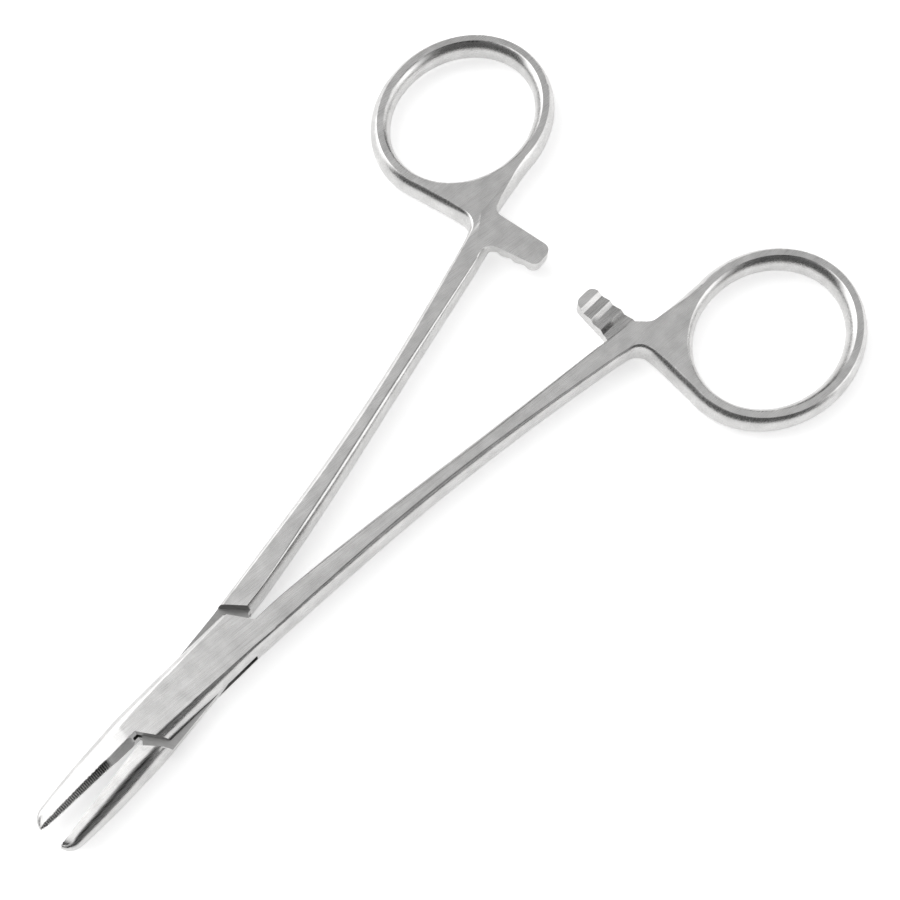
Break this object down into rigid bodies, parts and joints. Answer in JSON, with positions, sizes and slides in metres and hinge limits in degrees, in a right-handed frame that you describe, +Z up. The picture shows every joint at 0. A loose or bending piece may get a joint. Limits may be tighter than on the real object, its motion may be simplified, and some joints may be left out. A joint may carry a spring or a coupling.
{
  "type": "surgical needle holder",
  "caption": "Straight steel needle holder with finger rings, ratchet arms, riveted box lock and short cross-cut jaws, lying slightly open.",
  "frame": {"origin": "on the pivot axis, at the underside of the box, which the instrument rests on", "axes": "+X from the pivot towards the finger rings, midway between them; +Z up, along the pivot axis; the tongue half's ring is on the +Y side"},
  "size_m": [0.1518, 0.096, 0.0062],
  "materials": {
    "satin_steel": "satin brushed, brighter on worn edges"
  },
  "bodies": {
    "box_side": {"box_half": "satin_steel", "joint_pin": "satin_steel"},
    "tongue_side": {"tongue_half": "satin_steel"}
  },
  "joints": [
    {"name": "box_lock", "type": "hinge", "parent": "box_side", "child": "tongue_side", "pos_m": [0, 0, 0.0031], "axis": [0, 0, 1], "range_deg": [-7.3, 38]}
  ]
}
